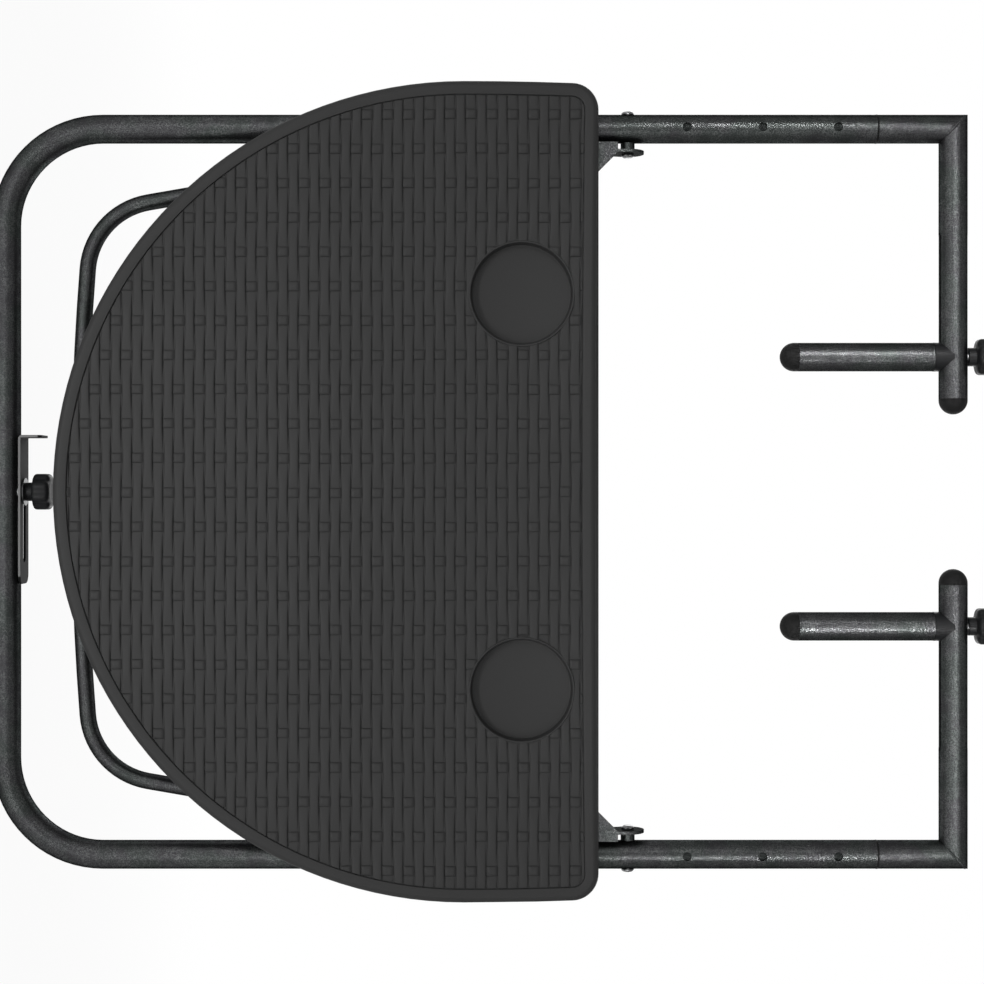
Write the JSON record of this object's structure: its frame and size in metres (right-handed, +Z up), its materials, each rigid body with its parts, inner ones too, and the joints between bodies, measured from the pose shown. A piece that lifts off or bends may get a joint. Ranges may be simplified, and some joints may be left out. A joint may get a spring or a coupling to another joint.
{
  "type": "balcony railing bar table",
  "caption": "Half-round folding table on a tubular frame that hangs over a balcony handrail by two turnable, height-adjustable hooks, with a folding brace and a foot clamp.",
  "frame": {"origin": "handrail seat, midway between the hooks at the underside of their cross arms", "axes": "+Z up, +X along the railing to the right of a person who faces it, +Y from the user to the railing"},
  "size_m": [0.6436, 0.0495, 0.7998],
  "materials": {
    "hammered_paint": "hammered dark grey powder coat",
    "top_plastic": "satin moulded plastic with a woven relief",
    "black_plastic": "fine-grained moulded plastic",
    "black_rubber": "smooth moulded rubber",
    "bright_zinc": "bright zinc plate",
    "plate_paint": "smooth dark grey powder coat",
    "inner_steel": "dull zinc plate",
    "nylon": "plain moulded nylon"
  },
  "bodies": {
    "frame": {"frame_tube": "hammered_paint", "hinge_bolts": "bright_zinc", "hinge_collars": "hammered_paint", "hinge_nuts": "bright_zinc", "brace_bolts": "bright_zinc", "brace_collars": "hammered_paint", "brace_nuts": "bright_zinc", "rivet_nut": "bright_zinc", "clamp_stud": "bright_zinc"},
    "tabletop": {"tabletop": "top_plastic", "tabletop_rim": "top_plastic", "hinge_bracket_left": "hammered_paint", "hinge_bracket_right": "hammered_paint", "bracket_screws": "bright_zinc", "brace_catch_left": "black_plastic", "brace_catch_right": "black_plastic", "catch_screws": "bright_zinc"},
    "brace": {"brace_tube": "hammered_paint", "brace_bushes": "nylon", "brace_end_plugs": "black_plastic"},
    "clamp_washer": {"clamp_washer": "bright_zinc"},
    "clamp_plate": {"clamp_plate": "plate_paint"},
    "clamp_knob": {"clamp_knob": "black_plastic"},
    "guide_left": {"guide_plug_left": "nylon"},
    "hook_left": {"hook_tube_left": "hammered_paint", "inner_tube_left": "inner_steel", "snap_spring_left": "inner_steel", "cross_cap_left": "black_rubber"},
    "button_left": {"snap_button_left": "inner_steel"},
    "arm_left": {"hook_arm_left": "hammered_paint", "saddle_left": "black_plastic", "arm_insert_left": "bright_zinc", "arm_stud_left": "bright_zinc", "arm_cap_left": "black_rubber"},
    "knob_left": {"arm_knob_left": "black_plastic"},
    "guide_right": {"guide_plug_right": "nylon"},
    "hook_right": {"hook_tube_right": "hammered_paint", "inner_tube_right": "inner_steel", "snap_spring_right": "inner_steel", "cross_cap_right": "black_rubber"},
    "button_right": {"snap_button_right": "inner_steel"},
    "arm_right": {"hook_arm_right": "hammered_paint", "saddle_right": "black_plastic", "arm_insert_right": "bright_zinc", "arm_stud_right": "bright_zinc", "arm_cap_right": "black_rubber"},
    "knob_right": {"arm_knob_right": "black_plastic"}
  },
  "joints": [
    {"name": "tabletop_fold", "type": "hinge", "parent": "frame", "child": "tabletop", "pos_m": [0, 0, -0.2485], "axis": [-1, 0, 0], "range_deg": [0, 90]},
    {"name": "brace_swing", "type": "hinge", "parent": "frame", "child": "brace", "pos_m": [0, 0, -0.37], "axis": [-1, 0, 0], "range_deg": [0, 112.82]},
    {"name": "height_slide_left", "type": "slide", "parent": "frame", "child": "guide_left", "axis": [0, 0, 1], "range_m": [0, 0.12]},
    {"name": "hook_turn_left", "type": "hinge", "parent": "guide_left", "child": "hook_left", "pos_m": [-0.2895, 0, 0], "axis": [0, 0, 1], "range_deg": [0, 90]},
    {"name": "button_press_left", "type": "hinge", "parent": "hook_left", "child": "button_left", "pos_m": [-0.2954, 0, -0.1692], "axis": [0, -1, 0], "range_deg": [0, 4], "stiffness_Nm_per_rad": 3.4, "springref_deg": -5.73},
    {"name": "arm_slide_left", "type": "slide", "parent": "hook_left", "child": "arm_left", "axis": [-1, 0, 0], "range_m": [0, 0.0955]},
    {"name": "arm_knob_spin_left", "type": "hinge", "parent": "arm_left", "child": "knob_left", "pos_m": [-0.1075, 0, 0.03], "axis": [0, 0, 1], "continuous": true},
    {"name": "height_slide_right", "type": "slide", "parent": "frame", "child": "guide_right", "axis": [0, 0, 1], "range_m": [0, 0.12]},
    {"name": "hook_turn_right", "type": "hinge", "parent": "guide_right", "child": "hook_right", "pos_m": [0.2895, 0, 0], "axis": [0, 0, 1], "range_deg": [-90, 0]},
    {"name": "button_press_right", "type": "hinge", "parent": "hook_right", "child": "button_right", "pos_m": [0.2954, 0, -0.1692], "axis": [0, 1, 0], "range_deg": [0, 4], "stiffness_Nm_per_rad": 3.4, "springref_deg": -5.73},
    {"name": "arm_slide_right", "type": "slide", "parent": "hook_right", "child": "arm_right", "axis": [1, 0, 0], "range_m": [0, 0.0955]},
    {"name": "arm_knob_spin_right", "type": "hinge", "parent": "arm_right", "child": "knob_right", "pos_m": [0.1075, 0, 0.03], "axis": [0, 0, 1], "continuous": true},
    {"name": "clamp_swivel", "type": "hinge", "parent": "frame", "child": "clamp_washer", "pos_m": [0, 0, -0.73], "axis": [0, 0, 1], "continuous": true},
    {"name": "clamp_plate_slide", "type": "slide", "parent": "clamp_washer", "child": "clamp_plate", "axis": [-1, 0, 0], "range_m": [0, 0.05]},
    {"name": "clamp_knob_spin", "type": "hinge", "parent": "frame", "child": "clamp_knob", "pos_m": [0, 0, -0.72], "axis": [0, 0, 1], "continuous": true}
  ],
  "couplings": [
    {"joint": "brace_swing", "follows": "tabletop_fold", "ratio": 1.2535}
  ]
}
